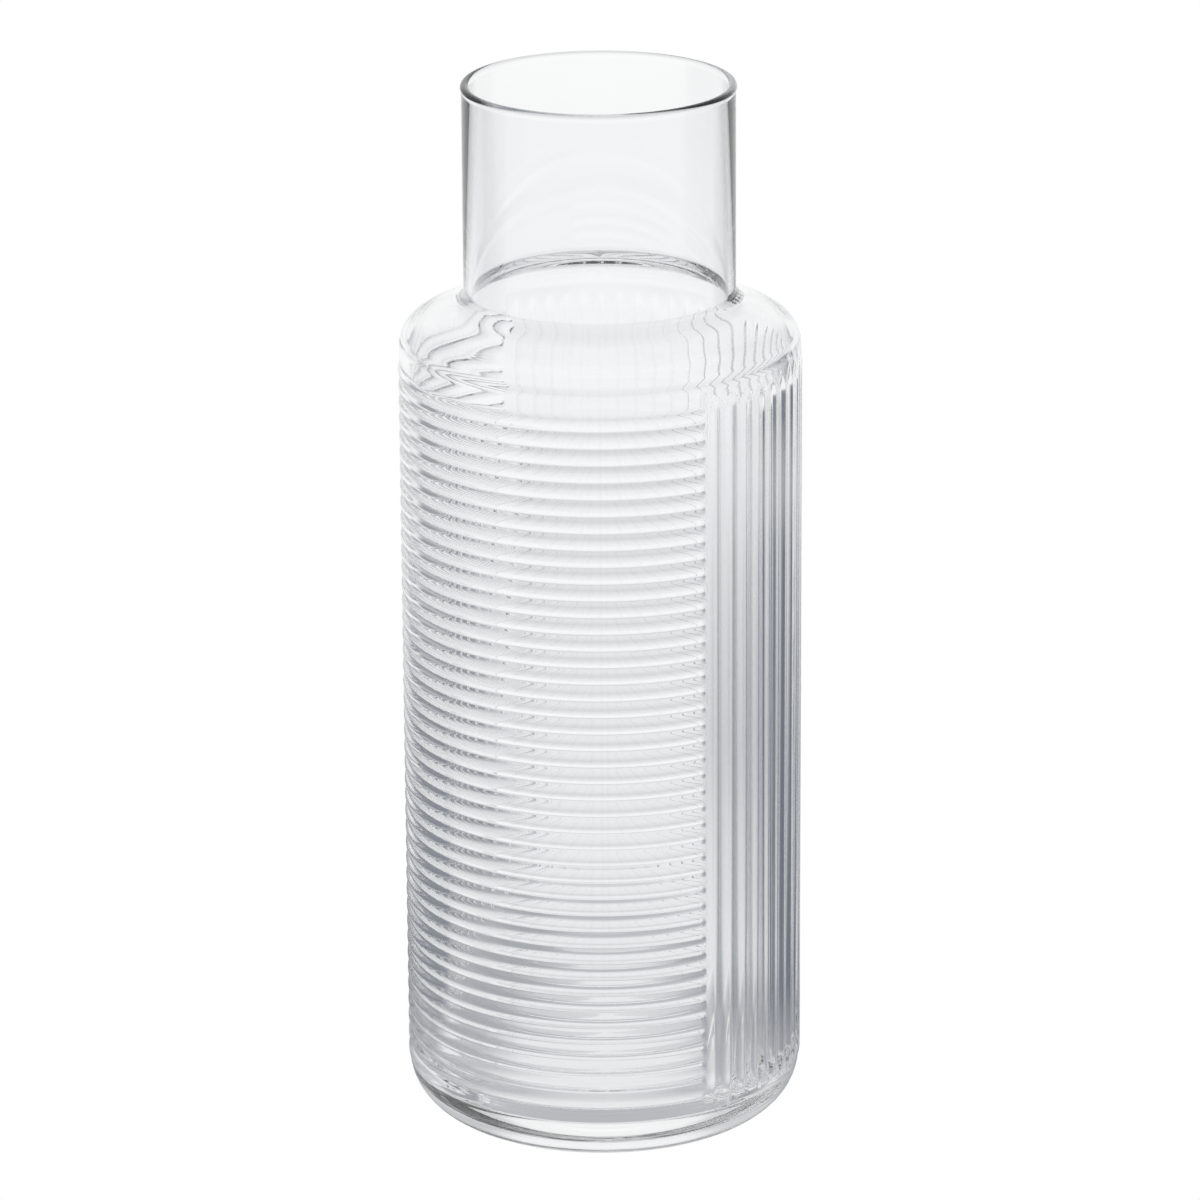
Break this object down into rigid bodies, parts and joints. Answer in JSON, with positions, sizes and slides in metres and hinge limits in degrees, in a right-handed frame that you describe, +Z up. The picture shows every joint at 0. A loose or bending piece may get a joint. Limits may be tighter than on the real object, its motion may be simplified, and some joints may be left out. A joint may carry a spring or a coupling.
{
  "type": "glass carafe",
  "caption": "Clear round glass carafe with a straight neck and sloping shoulder; one half of the wall has horizontal ribs, the other upright reeds. Holds and pours drinks.",
  "frame": {"origin": "centre of the base, on the surface that the carafe stands on", "axes": "+Z up along the carafe's axis, the ribbed half faces -Y and the reeded half +Y, and the two panels meet on the X axis"},
  "size_m": [0.098, 0.098, 0.2609],
  "materials": {
    "clear_glass": "clear, colourless, fire-polished"
  },
  "bodies": {
    "root": {"glass_body": "clear_glass"}
  },
  "joints": []
}
